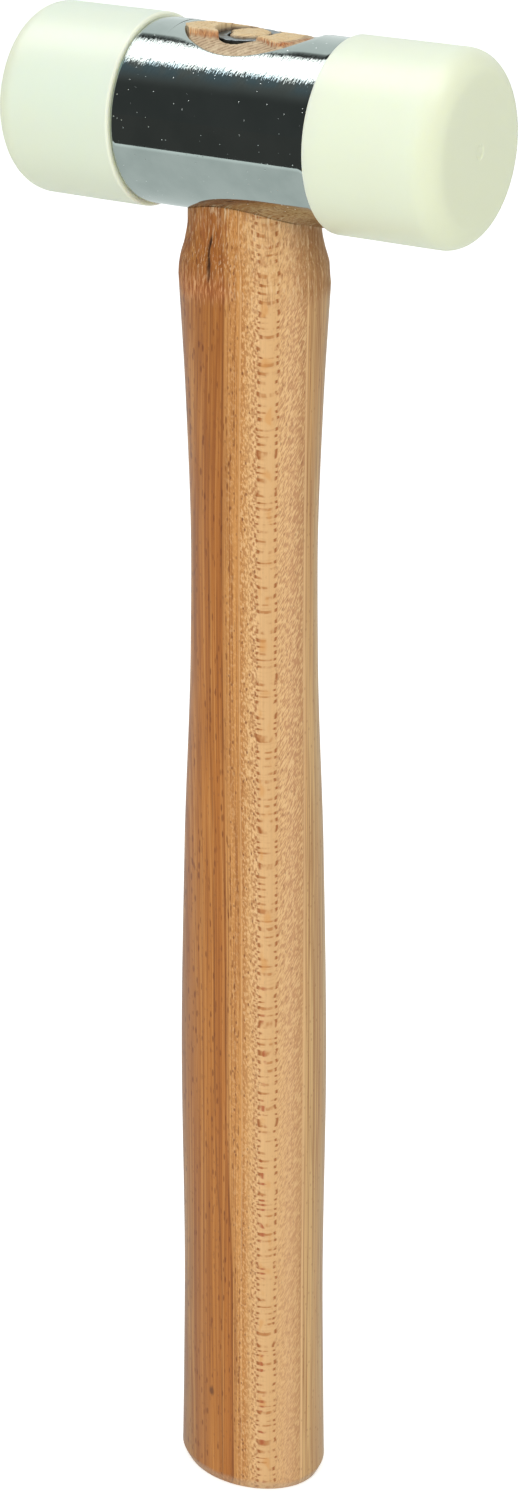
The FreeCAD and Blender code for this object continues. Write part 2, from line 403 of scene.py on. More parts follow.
class Wood(Look):
    """Lacquered hardwood. Its growth rings are planes across d, so they run as straight lines up
    the sides of the handle and lie flat to the surface in a strip up the front and another up the
    back, where u is 0. Each method lays one kind of figure over the colour that it is given. They
    are called in the order written here, and the relief reads the figures that they leave."""

    # Tones across the handle, by u.
    TONES = ((-16, "#966C3C"), (-13, "#AA6D34"), (-11, "#B5732F"), (-9.4, "#B16D29"), (-7.35, "#AE6A2B"),
             (-7.1, "#C4894A"), (-5.4, "#CB8F4E"), (-4.3, "#C98E4D"), (-3.0, "#D4A369"), (-1.6, "#DFB37D"),
             (0.6, "#D7AC77"), (2.2, "#D4A771"), (5.0, "#D1A473"), (7.1, "#C39664"), (7.6, "#CBA16D"),
             (9.0, "#CDA873"), (11, "#C8A775"), (15, "#B29466"))

    def __init__(self):
        super().__init__("lacquered_wood", Roughness=0.45, Coat_Roughness=0.3, Specular_IOR_Level=0.25)
        x, y, z = self.x, self.y, self.z
        drift = self.noise(x * 0.05, y * 0.05, z * 0.01, 2.0) - 0.5
        self.u = x * GRAIN_X + y * GRAIN_Y + drift * 0.7
        self.d = x * GRAIN_Y - y * GRAIN_X
        self.side = abs(self.u)
        # The boundary left of the middle leans over near the butt.
        self.leant = self.u - z.rise(90.0, 45.0) * self.u.rise(-2.6, -5.6) * 1.2
        self.end, self.ground = self.painted("end"), self.painted("ground")
        self.frayed, self.dark, self.torn = (self.painted(name) for name in ("frayed", "dark", "torn"))
        self.raw = self.end.calc("MAXIMUM", self.ground)

    def tones(self):
        """Broad tones across the handle."""
        reach = 16.0
        stops = [((place + reach) / (2 * reach), tint) for place, tint in self.TONES]
        return self.ramp((self.leant + reach) / (2 * reach), stops)

    def straight_grain(self, colour):
        """Fine lines all over, strongest up the sides."""
        u, d, z = self.u, self.d, self.z
        self.sides = self.leant.rise(-2.8, -5.6).calc("MAXIMUM", u.rise(6.8, 8.2))
        self.fine = self.noise(u * 3.4, d * 0.3, z * 0.012, 3.0, 0.7)
        self.hair = self.noise(u * 5.0, d * 0.6, z * 0.03, 2.0, 0.6)
        broad = self.noise(u * 0.8, d * 0.15, z * 0.004, 2.0)
        # Darker up both sides towards the head.
        colour = self.mix(z.rise(185.0, 250.0) * self.side.rise(4.0, 9.0) * 0.3, colour, "#8C5628")
        colour = self.mix(self.fine.rise(0.5, 0.6) * (self.sides * 0.45 + 0.08), colour, "#88491A")
        colour = self.mix(self.fine.rise(0.48, 0.36) * (self.sides * 0.22 + 0.1), colour, "#DAA05A")
        colour = self.mix(self.hair.rise(0.53, 0.66) * (self.sides * 0.4 + 0.05), colour, "#864C1E")
        colour = self.mix(broad.rise(0.5, 0.68) * self.sides * 0.3, colour, "#A0602A")
        strong = self.leant.bump_at(-7.4, 0.26) * 0.75 + self.leant.bump_at(-9.3, 0.24) * 0.65
        strong = strong + u.bump_at(-11.2, 0.3) * 0.3 + u.bump_at(10.2, 0.3) * 0.25
        self.strong = strong * self.noise(z * 0.05, u * 2.0, 3.0, 2.0).rise(0.3, 0.6)
        colour = self.mix(self.strong, colour, "#74401A")
        return self.mix(u.bump_at(7.75, 0.35) * 0.45 + u.bump_at(-4.5, 0.22) * 0.3, colour, "#EBC593")

    def strokes(self, colour):
        """Short strokes where the rings meet the surface at a slant: leaning on the right, staggered
        on the left. Then pores, and flecks up the left side."""
        u, d, z = self.u, self.d, self.z
        clear = (z.rise(60.0, 170.0) * 0.35 + 0.5) * (self.ground * -0.4 + 1.0)
        leaning = u.rise(1.4, 2.8) * u.rise(7.7, 7.3) * clear
        staggered = u.rise(-4.6, -4.1) * u.rise(-0.8, -1.7) * (clear * 0.75 + 0.15)
        golden = self.leant.bump_at(-5.8, 1.6)
        stroke = self.noise((u - z * 0.42) * 4.4, d * 0.8, z * 1.0, 1.0, 0.5) + (u - 5.4) * 0.006
        weave = self.noise((u + z * 0.12) * 3.4, d * 0.8, z * 1.35, 2.0, 0.55)
        colour = self.mix(stroke.rise(0.5, 0.58) * leaning * 0.58, colour, "#A56D4C")
        colour = self.mix(stroke.rise(0.47, 0.39) * leaning * 0.5, colour, "#EBC995")
        colour = self.mix(weave.rise(0.5, 0.58) * (staggered * 0.62 + golden * 0.25), colour, "#9E663A")
        colour = self.mix(weave.rise(0.47, 0.39) * (staggered * 0.55 + golden * 0.2), colour, "#EECA98")
        pores = self.cells(u * 1.15, d * 0.5, z * 0.55).rise(0.24, 0.12)
        self.pores = pores * (staggered * 0.9 + golden * 0.5 + leaning * 0.35 + self.sides * 0.2 + 0.1)
        self.slant = stroke * leaning * 0.5 + weave * staggered * 0.5
        colour = self.mix(self.pores, colour, "#84502C")
        fleck = self.cells(u * 1.7, d * 0.5, z * 0.34).rise(0.34, 0.16) * self.hair.rise(0.42, 0.56)
        return self.mix(fleck * (self.leant.rise(-3.6, -6.0) * 0.75), colour, "#763C14")

    def flat_strip(self, colour):
        """The strip where the rings lie flat: ripples, rungs, and columns of open pores."""
        u, z, side = self.u, self.z, self.side
        beat = (z - u * u * 0.11) / 1.7 + self.noise(z * 0.16, 0.0, 0.0, 2.0) * 4.0
        wave = (beat * (2 * math.pi)).calc("SINE")
        ripple = ((z - u * u * 0.14) * 7.4 + self.noise(z * 0.5, u * 0.3, 1.0) * 6.0).calc("SINE")
        patchy = self.noise(z * 0.3, u * 0.5, 7.0, 2.0).rise(0.42, 0.62)
        colour = self.mix(side.rise(2.0, 1.4) * ripple.rise(0.1, 0.9) * patchy * 0.22, colour, "#BC8650")
        rung = wave.rise(0.3, 0.9) * side.rise(1.7, 1.0) * patchy
        colour = self.mix(rung * 0.75, colour, "#AE6C32")
        amber = self.noise(z * 0.2, u * 0.3, 13.0, 1.0).rise(0.56, 0.68) * side.rise(1.4, 0.7)
        colour = self.mix(amber * 0.5, colour, "#CF8F49")
        left = u - (self.noise(z * 0.45, 2.0, 5.0, 2.0) * 2.0 - 2.3)
        right = u - (self.noise(z * 0.3, 9.0, 5.0, 2.0) * 1.6 + 1.2)
        dots = wave.rise(0.0, 0.75) * (left.bump_at(0.0, 0.55) + left.bump_at(-1.0, 0.4) * 0.7)
        dots = dots + (wave * -1.0).rise(0.2, 0.85) * left.bump_at(-0.55, 0.38) * 0.7
        dots = dots + wave.rise(-0.1, 0.6) * right.bump_at(0.0, 0.48)
        self.dots = dots.calc("MINIMUM", 1.0) * self.noise(z * 0.6, u * 0.8, 3.0, 2.0).rise(0.28, 0.46)
        colour = self.mix(self.dots * 0.92, colour, "#9A5826")
        rust = self.noise(z * 0.2, u * 0.4, 21.0, 1.0).rise(0.52, 0.6) * u.bump_at(-0.5, 0.9)
        return self.mix(rust * wave.rise(-0.3, 0.4) * z.rise(150.0, 90.0) * 0.85, colour, "#A8502A")

    def knot(self, colour):
        """A small knot on the left near the butt."""
        across, along = self.u - KNOT_U, self.z - KNOT_Z
        away = (across * across * 3.0 + along * along * 0.5).calc("SQRT")
        return self.mix(away.rise(1.0, 0.3) * 0.75 * self.d.rise(0.0, 1.0), colour, "#5A3016")

    def cone(self, colour):
        """The ground cone: dull, mottled and fibrous; then the painted shade stored in dark."""
        x, y, z, ground = self.x, self.y, self.z, self.ground
        self.mottle = self.noise(x * 0.5, y * 0.5, z * 0.4, 4.0, 0.65)
        self.fray = self.noise(self.u * 3.2, self.d * 3.2, z * 0.35, 3.0, 0.6)
        colour = self.mix(ground * self.mottle.rise(0.5, 0.7) * 0.5, colour, "#A05A2A")
        colour = self.mix(ground * self.u.rise(3.0, 9.0) * 0.5, colour, "#9A6A40")
        colour = self.mix(ground * self.fray.rise(0.54, 0.66) * 0.45, colour, "#E8CBA0")
        colour = self.mix(ground * self.fray.rise(0.46, 0.34) * 0.35, colour, "#7C4A2A")
        colour = self.mix(self.frayed * self.fray.rise(0.5, 0.62) * 0.6, colour, "#E9CFA6")
        # Painted shade from dark: in the crack, under the tube and round the tenon's end.
        return self.mix(self.dark, colour, "#2E1B10")

    def end_grain(self, colour):
        """Bare ends, with pores in lines along the rings; the raised middle paler, partly a painted
        highlight;
        torn wood, partly painted shade on the platform's split front; and painted shade in the gaps."""
        speck = self.cells(self.x * 1.9, self.y * 1.9, self.z * 0.5).rise(0.3, 0.15)
        rows = (self.d * 1.3 + self.mottle * 1.2).calc("FRACT").bump_at(0.5, 0.4)
        # The raised middle's top is paler, partly its own end grain and partly a painted highlight.
        raised = (self.z - HEAD).rise(15.7, 15.95)
        tint = self.mix(rows, "#BFA888", "#9E8567")
        tint = self.mix(raised * 0.85, tint, self.mix(rows * 0.5, "#E6CB9A", "#C29E6C"))
        tint = self.mix(self.mottle.rise(0.45, 0.66) * 0.5, tint, "#E2D0AC")
        tint = self.mix(speck * rows * 0.7, tint, "#6E482E")
        colour = self.mix(self.end, colour, tint)
        # The torn colour: torn wood, and on the platform's split front partly painted shade.
        colour = self.mix(self.torn, colour, self.mix(self.fray.rise(0.42, 0.62), "#96542A", "#CE8A52"))
        # Painted shade from dark on the bare ends: along the eye, in the slot and at the island's edge.
        return self.mix(self.dark * self.end, colour, "#1C120C")

    def surface(self):
        """Lacquer that is thin on bare wood, and relief."""
        self.drive("Roughness", self.fine * 0.12 + self.pores * 0.15 + self.raw * 0.2 + 0.34)
        self.drive("Coat Weight", self.raw * -0.15 + 0.15)
        relief = self.slant + self.fine * self.sides * 0.4 - self.pores * 0.5 - self.dots * 0.6
        relief = relief - self.strong * 0.3 + self.raw * self.mottle * 1.6 + self.raw * self.fray * 1.4
        self.bump(relief, 0.07)


def wood_look():
    """The handle's wood: the broad tones, then each figure over the last."""
    wood = Wood()
    colour = wood.tones()
    for figure in (wood.straight_grain, wood.strokes, wood.flat_strip, wood.knot, wood.cone,
                   wood.end_grain):
        colour = figure(colour)
    wood.drive("Base Color", colour)
    wood.surface()
    return wood.material


# ---------------------------------------------------------------- tips

def tip_profile():
    """(along, radius) from the stub's end to the gate mark, along from the seat; None in the thread."""
    body, face = TIP_LENGTH - TIP_EDGE, TIP_R - TIP_EDGE
    seat = TIP_R - TIP_RIM
    line = [(-STUB, 4.0), (-STUB, 9.0), (-STUB, 12.1), (-STUB + 0.2, 12.5), (-STUB + 0.45, STUB_R)]
    reach = STUB - (THREAD_IN + THREAD_OUT)
    line += [(-STUB + THREAD_IN + reach * i / THREAD_ROWS, None) for i in range(THREAD_ROWS + 1)]
    line += [(-0.25, 13.0), (0.0, 13.15), (0.05, 13.5), (0.0, 14.6), (0.0, seat - 0.3)]
    line += [(TIP_RIM - TIP_RIM * math.cos(a), seat + TIP_RIM * math.sin(a)) for a in arc_steps(5)]
    line += [(TIP_RIM + (body - TIP_RIM) * f, TIP_R)
             for f in (0.03, 0.1, 0.25, 0.45, 0.65, 0.82, 0.94, 1.0)]
    line += [(body + TIP_EDGE * math.sin(a), face + TIP_EDGE * math.cos(a)) for a in arc_steps(16)[1:]]
    line += [(TIP_LENGTH, face * f) for f in (0.97, 0.9, 0.8, 0.68, 0.55, 0.42, 0.3, 0.2, 0.13)]
    line += [(TIP_LENGTH - sink, radius) for sink, radius in
             ((0.0, 1.42), (0.05, 1.3), (0.17, 1.22), (0.2, 1.0), (0.14, 0.5))]
    return line


def tip(name, node, side, look):
    """A nylon tip: threaded stub, seat against the tube, and a striking face with its gate mark."""
    turns = full_turn(144)
    rows = []
    for along, radius in tip_profile():
        if radius is None:
            fade = smooth(0.0, 0.5, along + STUB - THREAD_IN) * smooth(0.0, 0.6, -0.55 - along)
            radii = STUB_R + STUB_TOOTH * smooth(0.15, 0.75, thread(along, turns)) * fade
        else:
            radii = np.full(len(turns), float(radius))
        row = np.stack([np.full(len(turns), along + TUBE_HALF + SEAT_GAP), radii * np.cos(turns),
                        radii * np.sin(turns)], axis=1)
        if radius == TIP_R or along > TIP_LENGTH - TIP_EDGE:
            wobble = rough(row, 9.0, 3.1 + side, 2)
            row[:, 1:] *= (1 - 0.0012 * (0.5 + 0.5 * np.clip(wobble, -1, 1)))[:, None]
        row[:, 0] *= side
        row[:, 2] += HEAD
        rows.append(row)
    bm = bmesh.new()
    seat = side * (TUBE_HALF + SEAT_GAP)
    back, face = seat - side * (STUB - 0.15), seat + side * (TIP_LENGTH - GATE_SINK)
    net(bm, rows, (back, 0, HEAD), (face, 0, HEAD))
    piece(bm, name, node, "nylon", look, node)


# ---------------------------------------------------------------- head tube

def tube_point(x, s, radius, up):
    """The point at an arc length s from the crown line, on a cylinder of that radius."""
    angle = s / TUBE_R
    return np.stack([x, radius * np.sin(angle), HEAD + up * radius * np.cos(angle)], axis=-1)


def eye_plate(border, up):
    """Rows from the plate's border inside the bore, in to the eye, out through its rolled edge, which
    is dished a little, and over the outside to the border. up is 1 on top and -1 underneath."""
    # The eye is narrower underneath, by nearly its whole taper.
    narrower = 0.0 if up > 0 else EYE_TAPER * 0.98
    a, b = EYE_A - narrower, EYE_B - narrower
    t = np.arctan2(border[:, 1] / PLATE_ARC, border[:, 0] / PLATE_REACH)
    steps = np.concatenate([[0.0, 0.012, 0.028, 0.05], np.linspace(0.08, 1.0, 26)])

    def at(radius, share, grow):
        """Points a share of the way out from the eye's edge, on a cylinder of that radius."""
        edge_x, edge_y = (a + grow) * np.cos(t), (b + grow) * np.sin(t)
        edge_s = np.arcsin(np.clip(edge_y / radius, -1, 1)) * TUBE_R
        x = edge_x + (border[:, 0] - edge_x) * share
        return tube_point(x, edge_s + (border[:, 1] - edge_s) * share, radius, up)

    bore = [at(BORE_R, share, 0.0) for share in steps[::-1]]
    shown = [at(BORE_R + (TUBE_R - BORE_R - EYE_ROLL) * depth, 0.0, 0.0) for depth in (0.3, 0.7)]
    shown += [at(TUBE_R - EYE_ROLL + EYE_ROLL * math.sin(angle), 0.0, EYE_ROLL * (1 - math.cos(angle)))
              for angle in arc_steps(5)]
    shown += [at(TUBE_R, share, EYE_ROLL) for share in steps[1:]]
    # The dish is deepest at the ends of the eye, and faint underneath.
    for row in shown:
        gap = np.hypot(row[:, 0] / a, row[:, 1] / b) - 1.0
        ends = smooth(6.0, 11.5, np.abs(row[:, 0]))
        sink = 0.22 * np.exp(-np.clip(gap, 0, None) / 0.07) * (0.25 + 0.75 * ends)
        pull = 1 - sink * (1 if up > 0 else 0.25) / TUBE_R
        row[:, 1] *= pull
        row[:, 2] = HEAD + (row[:, 2] - HEAD) * pull
    return bore + shown


def sleeve(angles, side):
    """Rows from the plates out to one end of the tube, round its mouth, and back along the thread."""
    lip = TUBE_HALF - MOUTH_ROLL
    line = [(PLATE_REACH + (lip - PLATE_REACH) * f, TUBE_R) for f in np.linspace(0, 1, 9)]
    line += [(lip + MOUTH_ROLL * math.sin(t), TUBE_R - MOUTH_ROLL + MOUTH_ROLL * math.cos(t))
             for t in arc_steps(4)[1:]]
    line += [(TUBE_HALF, BORE_R + 0.5), (TUBE_HALF - 0.25, BORE_R + 0.25)]
    first = TUBE_HALF - 0.5
    line += [(first - (first - PLATE_REACH) * i / THREAD_ROWS, None) for i in range(THREAD_ROWS + 1)]
    rows = []
    for along, radius in line:
        if radius is None:
            fade = smooth(PLATE_REACH, PLATE_REACH + 0.9, along)
            radii = BORE_R + BORE_TOOTH * smooth(0.25, 0.85, thread(along, side * angles)) * fade
        else:
            radii = np.full(len(angles), float(radius))
        rows.append(np.stack([np.full(len(angles), side * along), radii * np.sin(angles),
                              HEAD + radii * np.cos(angles)], axis=1))
    return rows


def head_tube(look):
    """The chromed tube: a plate with the eye in it above and below, and a sleeve at each end."""
    xs = np.linspace(-PLATE_REACH, PLATE_REACH, 49)
    ss = np.linspace(-PLATE_ARC, PLATE_ARC, 65)
    border = np.array([(x, -PLATE_ARC) for x in xs[:-1]] + [(PLATE_REACH, s) for s in ss[:-1]]
                      + [(x, PLATE_ARC) for x in xs[:0:-1]] + [(-PLATE_REACH, s) for s in ss[:0:-1]])
    angles = np.concatenate([ss[:-1], ss[:-1] + 2 * PLATE_ARC]) / TUBE_R
    bm = bmesh.new()
    for up in (1, -1):
        net(bm, eye_plate(border, up))
    for side in (1, -1):
        net(bm, sleeve(angles, side))
    piece(bm, "head_tube_chrome", "hammer", "chromed_steel", look, "head_tube")


# ---------------------------------------------------------------- ring wedge

def ring_wedge(look):
    """The steel ring driven into the tenon, a little tilted and dented by the hammer that set it."""
    turns = full_turn(160)
    chamfer, foot = RING_CHAMFER, RING_BORE + RING_EDGE
    outline = [(RING_BORE, -RING_LENGTH), (foot, -RING_LENGTH)]
    outline += [(foot + (RING_R - foot) * f, -RING_LENGTH * (1 - f)) for f in (0.3, 0.6, 0.8, 0.92)]
    outline += [(RING_R, -0.5)]
    outline += [(RING_R - chamfer + chamfer * math.cos(a), -chamfer + chamfer * math.sin(a))
                for a in arc_steps(4)]
    outline += [(RING_R - 0.55, 0.0), (4.9, 0.0), (RING_BORE + 0.5, 0.0)]
    outline += [(RING_BORE + chamfer - chamfer * math.sin(a), -chamfer + chamfer * math.cos(a))
                for a in arc_steps(4)]
    outline += [(RING_BORE, -0.6), (RING_BORE, -3.0), (RING_BORE, -9.0)]
    rows = []
    for radius, depth in outline:
        x, y = radius * np.cos(turns), radius * np.sin(turns)
        row = np.stack([RING_X + x, y, np.full(len(turns), HEAD + RING_TOP + depth)], axis=1)
        if depth > -1.0:
            row[:, 2] += 0.10 * rough(row, (1.4, 1.4, 2.0), 8.0, 3) - 0.12 + 0.016 * x
        rows.append(row)
    bm = bmesh.new()
    net(bm, rows + [rows[0]])
    piece(bm, "ring_wedge_steel", "hammer", "wedge_steel", look, "ring_wedge")


# ---------------------------------------------------------------- handle

def tenon_end(x, y):
    """Height of the tenon's end above the head's axis, and how torn it is, partly painted shade on the
    split front. The middle stands up as a platform, split away along its front; the front strip follows
    the tube; the right end is sunk."""
    spot = np.stack([x, y, np.zeros_like(x)], axis=-1)
    coarse = rough(spot, (2.6, 1.5, 1.0), 4.0, 3)
    fibre = rough(spot, (0.55, 0.4, 1.0), 9.0, 2)
    skin = np.sqrt(np.clip(SKIN_R**2 - y * y, 0, None)) - 0.12 + 0.06 * fibre + 0.06 * coarse
    skin = skin - 0.9 * smooth(8.4, 10.6, x) - 0.15 * smooth(2.0, 5.0, x)
    left = 1 - smooth(-3.0, 3.0, x)
    front = 5.85 * left + (4.75 + 1.35 * bell(7.6, 2.0, x)) * (1 - left) + 0.2 * coarse
    inside = smooth(0.0, 0.25, front + y) * smooth(0.0, 0.5, 6.3 + 0.3 * coarse - y)
    inside = inside * (1 - smooth(8.6, 10.4, x - 0.15 * y + 0.3 * coarse))
    top = RAISED_LEFT * left + RAISED_RIGHT * (1 - left) + 0.12 * coarse + 0.06 * fibre
    top = top - 0.45 * smooth(6.0, 9.5, x) - 0.2 * smooth(-10.5, -12.6, x)
    top = top - 0.032 * np.clip(y + 0.5, 0, None) ** 2
    step = inside * (1 - inside) * 4 * smooth(0.1, 0.5, top - skin)
    return skin + np.clip(top - skin, 0, None) * inside, step


class Handle:
    """One mesh from the butt's face to the tenon's end. Every row has the same points round it, and
    each point has the numbers that the wood's material reads."""

    # dark is painted shade: in the cone's crack, under the tube, along the eye, in the ring wedge's slot
    # and at the island's edge.
    LAYERS = ("end", "ground", "frayed", "dark", "torn")
    CENTRE = (RING_X, -0.15)

    def __init__(self):
        # A ray from the ring's centre meets the eye's ellipse at a distance that solves a quadratic.
        # That point gives each column its place round every ellipse below.
        turns = full_turn(COLUMNS)
        self.dx, self.dy = np.cos(turns), np.sin(turns)
        a, b = EYE_A - WOOD_GAP, EYE_B - WOOD_GAP
        square = (self.dx / a) ** 2 + (self.dy / b) ** 2
        linear = 2 * (self.CENTRE[0] * self.dx / a**2 + self.CENTRE[1] * self.dy / b**2)
        constant = (self.CENTRE[0] / a) ** 2 + (self.CENTRE[1] / b) ** 2 - 1
        self.far = (-linear + np.sqrt(linear * linear - 4 * square * constant)) / (2 * square)
        rim_x, rim_y = self.ray(self.far)
        turn = np.arctan2(rim_y / b, rim_x / a)
        self.unit_x, self.unit_y = np.cos(turn), np.sin(turn)
        self.rows, self.painted = [], {name: [] for name in self.LAYERS}

    def ray(self, radius):
        """Points that far from the ring's centre."""
        return self.CENTRE[0] + radius * self.dx, self.CENTRE[1] + radius * self.dy

    def add(self, x, y, z, **paint):
        """One row of points."""
        full = np.ones(COLUMNS)
        self.rows.append(np.stack([x * full, y * full, z * full], axis=1))
        for name, store in self.painted.items():
            store.append(paint.get(name, 0.0) * full)

    def butt(self):
        """The butt's face and its bevel, cut a little unevenly."""
        _, half_x, half_y = GRIP[0]
        for share in (0.08, 0.2, 0.35, 0.5, 0.65, 0.8, 0.9, 0.96):
            self.add((half_x - BUTT_INSET) * share * self.unit_x,
                     (half_y - BUTT_INSET) * share * self.unit_y, 0.0, end=1.0)
        spot = np.stack([15 * self.unit_x, 12 * self.unit_y, np.zeros(COLUMNS)], axis=1)
        uneven = rough(spot, 9.0, 2.0, 2)
        for f in (0.0, 0.06, 0.2, 0.4, 0.6, 0.8, 0.92, 1.0, 1.08):
            inset = BUTT_INSET * (1 - min(f, 1.0)) ** 1.25
            height = BUTT_HEIGHT * f * (1 + 0.22 * uneven)
            self.add((half_x - inset) * self.unit_x, (half_y - inset) * self.unit_y,
                     np.clip(height, 0.0, None), end=0.25 * (1 - smooth(0.5, 1.0, f)),
                     ground=0.3 * (1 - smooth(0.9, 1.1, f)))

    def grip(self):
        """The lacquered grip, worn a little, up to where the cone is ground."""
        heights = [np.linspace(3.8, 12, 8), np.linspace(14, 250, 104), np.linspace(251, 255.2, 8)]
        for z in np.concatenate(heights):
            half_x, half_y = through(GRIP, z, 1), through(GRIP, z, 2)
            spot = np.stack([half_x * self.unit_x, half_y * self.unit_y, np.full(COLUMNS, z)], axis=1)
            wear = rough(spot, (7, 7, 26), 5.0, 2)
            keep = 1 - 0.0016 * (0.5 + 0.5 * wear)
            x, y = half_x * keep * self.unit_x, half_y * keep * self.unit_y
            near = smooth(252.0, 255.2, z + 1.3 * wear)
            left = smooth(TORN_FROM, TORN_TO, GRAIN_X * x + GRAIN_Y * y)
            self.add(x, y, z, ground=0.8 * near, torn=0.7 * near * left, frayed=0.4 * near * left)

    def cone(self):
        """The cone, ground up to the tube, with a crack in front, darkened with painted shade, and a torn
        patch on the left.
        """
        # The height at which each column meets the tube, closed in on step by step.
        self.shoulder = np.full(COLUMNS, 266.0)
        for _ in range(30):
            half_y = through(NECK, self.shoulder, 2)
            self.shoulder = HEAD - np.sqrt(TUBE_R**2 - (half_y * self.unit_y) ** 2)
        steps = [np.linspace(0.0, 0.1, 5), np.linspace(0.14, 0.9, 26), [0.93, 0.96, 0.985, 1.0]]
        for f in np.concatenate(steps):
            z = BULGE + (self.shoulder - BULGE) * f
            half_x, half_y = through(NECK, z, 1), through(NECK, z, 2)
            x, y = half_x * self.unit_x, half_y * self.unit_y
            spot = np.stack([x, y, z], axis=1)
            lumps = rough(spot, (4.5, 4.5, 7.0), 6.0, 3)
            fibres = rough(spot, (0.5, 0.5, 4.0), 7.0, 2)
            left = smooth(TORN_FROM, TORN_TO,
                          GRAIN_X * half_x * self.unit_x + GRAIN_Y * half_y * self.unit_y)
            # A crack left of the middle, which wanders a little.
            line = -3.2 + 0.25 * np.sin((z - 256) * 0.8) + 0.5 * lumps
            crack = bell(line, 0.24 + 0.1 * fibres, x) * (self.unit_y < 0)
            crack = crack * smooth(255.8, 257.0, z) * (1 - smooth(263.6, 265.2, z))
            move = 0.12 * lumps * smooth(0, 0.06, f) + 0.06 * fibres * (0.4 + smooth(0.8, 1.0, f))
            move = move - 0.05 - 0.4 * crack
            patch = left * bell(0.0, 0.16, f)
            move = np.minimum(move + 0.12 * fibres * patch, 0.12)
            edge_wear = 0.3 * bell(0.0, 0.05, f) * smooth(-0.2, 0.6, lumps)
            frays = np.maximum(0.7 * smooth(0.84 - 0.1 * left, 1.0, f), np.maximum(edge_wear, 0.6 * patch))
            # The crack is darkened with painted shade.
            self.add((half_x + move) * self.unit_x, (half_y + move) * self.unit_y, z, ground=0.95,
                     frayed=frays, dark=np.clip(crack * 1.3, 0, 0.95), torn=0.6 * patch)

    def tenon(self):
        """The saddle's lip under the tube, with faint painted shade, then the tenon up through the eye."""
        low_a, low_b = EYE_A - EYE_TAPER - WOOD_GAP, EYE_B - EYE_TAPER - WOOD_GAP
        for f in (0.5, 1.0):
            half_x = through(NECK, self.shoulder, 1) * (1 - f) + low_a * f
            half_y = through(NECK, self.shoulder, 2) * (1 - f) + low_b * f
            y = half_y * self.unit_y
            # Faint painted shade under the tube, stored in dark.
            self.add(half_x * self.unit_x, y, HEAD - np.sqrt(TUBE_R**2 - y * y) - 0.02,
                     ground=0.15, torn=0.65, dark=0.05 * f)
        for z in (-12.0, -6.0, 0.0, 6.0, 11.0, 13.2):
            share = (z + EYE_REACH) / (2 * EYE_REACH)
            self.add((low_a + EYE_TAPER * share) * self.unit_x,
                     (low_b + EYE_TAPER * share) * self.unit_y, HEAD + z)

    def top(self):
        """The tenon's torn end, the slot round the ring wedge, and the island of wood inside it, with
        painted shade along the eye, in the slot and at the island's edge.
        """
        bearing = np.degrees(np.arctan2(self.dy, self.dx))
        # The slot gapes in front of the ring, and inside the ring towards the left.
        slot_out = RING_R + (0.10 + 0.52 * bell(-90, 42, bearing))
        slot_in = RING_BORE - (0.08 + 1.1 * bell(-155, 22, bearing))
        for share in np.concatenate([[1.0, 0.99], np.linspace(0.965, 0.04, 40), [0.0]]):
            x, y = self.ray(slot_out + (self.far - slot_out) * share)
            # The split front takes the torn colour, partly as painted shade.
            z, split = tenon_end(x, y)
            burr = bell(-12.9, 1.6, x) * bell(-2.7, 1.3, y) * smooth(0.9, 1.0, share)
            z = z - 0.12 * smooth(0.985, 1.0, share) + 0.2 * burr
            # Painted shade in the gap along the eye's edge, stored in dark.
            self.add(x - 0.5 * burr, y, HEAD + z, end=1.0, torn=split,
                     dark=0.6 * bell(1.0, 0.014, share) * (1 - burr))
        for radius, depth in ((slot_out - 0.02, 0.5), (slot_out - 0.05, 1.6),
                              (slot_in + 0.05, 1.6), (slot_in + 0.02, 0.7)):
            x, y = self.ray(radius)
            # Painted shade down the slot round the ring wedge.
            self.add(x, y, HEAD + np.minimum(tenon_end(x, y)[0], RING_TOP) - depth, end=1.0, dark=0.85)
        for share in (1.0, 0.94, 0.86, 0.76, 0.64, 0.5, 0.36, 0.22, 0.1):
            x, y = self.ray(slot_in * share)
            lumps = rough(np.stack([x, y, 0 * x], axis=1), (1.6, 1.0, 1.0), 11.0, 3)
            z = ISLAND_TOP + 0.10 * lumps - 0.35 * smooth(0.8, 1.0, share) + 0.02 * x
            # Painted shade at the island's edge beside the ring wedge.
            self.add(x, y, HEAD + z, end=1.0, dark=0.25 * smooth(0.9, 1.0, share))

    def mesh(self):
        """The rows as a mesh. The two points that close its ends are bare end grain."""
        bm = bmesh.new()
        net(bm, self.rows, (0, 0, 0), (*self.CENTRE, HEAD + ISLAND_TOP + 0.02))
        for name in self.LAYERS:
            bm.verts.layers.float.new(name)
        bm.verts.ensure_lookup_table()
        for name, store in self.painted.items():
            layer, ends = bm.verts.layers.float[name], [float(name == "end")] * 2
            for vert, value in zip(bm.verts, [*np.concatenate(store), *ends]):
                vert[layer] = float(value)
        return bm


def handle(look):
    """The wooden handle."""
    made = Handle()
    for part in (made.butt, made.grip, made.cone, made.tenon, made.top):
        part()
    piece(made.mesh(), "handle_wood", "hammer", "handle_wood", look, "handle")


# ---------------------------------------------------------------- stage, lights, camera

def flat_square(cells, half):
    """A flat square mesh, cut into cells each way and reaching half its width from the middle."""
    bm = bmesh.new()
    bmesh.ops.create_grid(bm, x_segments=cells, y_segments=cells, size=half)
    return bm


def new_material(name):
    """A material and its tree of nodes."""
    made = bpy.data.materials.new(name)
    made.use_nodes = True
    return made, made.node_tree


def emission(tree, colour, strength):
    """A glow; its strength is a number or a value."""
    node = tree.nodes.new("ShaderNodeEmission")
    node.inputs["Color"].default_value = rgb(colour)
    set_input(tree, node.inputs["Strength"], strength)
    return node.outputs[0]


def choose(tree, share, first, second):
    """The first shader where share is 0 and the second where it is 1."""
    node = tree.nodes.new("ShaderNodeMixShader")
    for socket, source in zip(node.inputs, (share, first, second)):
        tree.links.new(source, socket)
    return node.outputs[0]


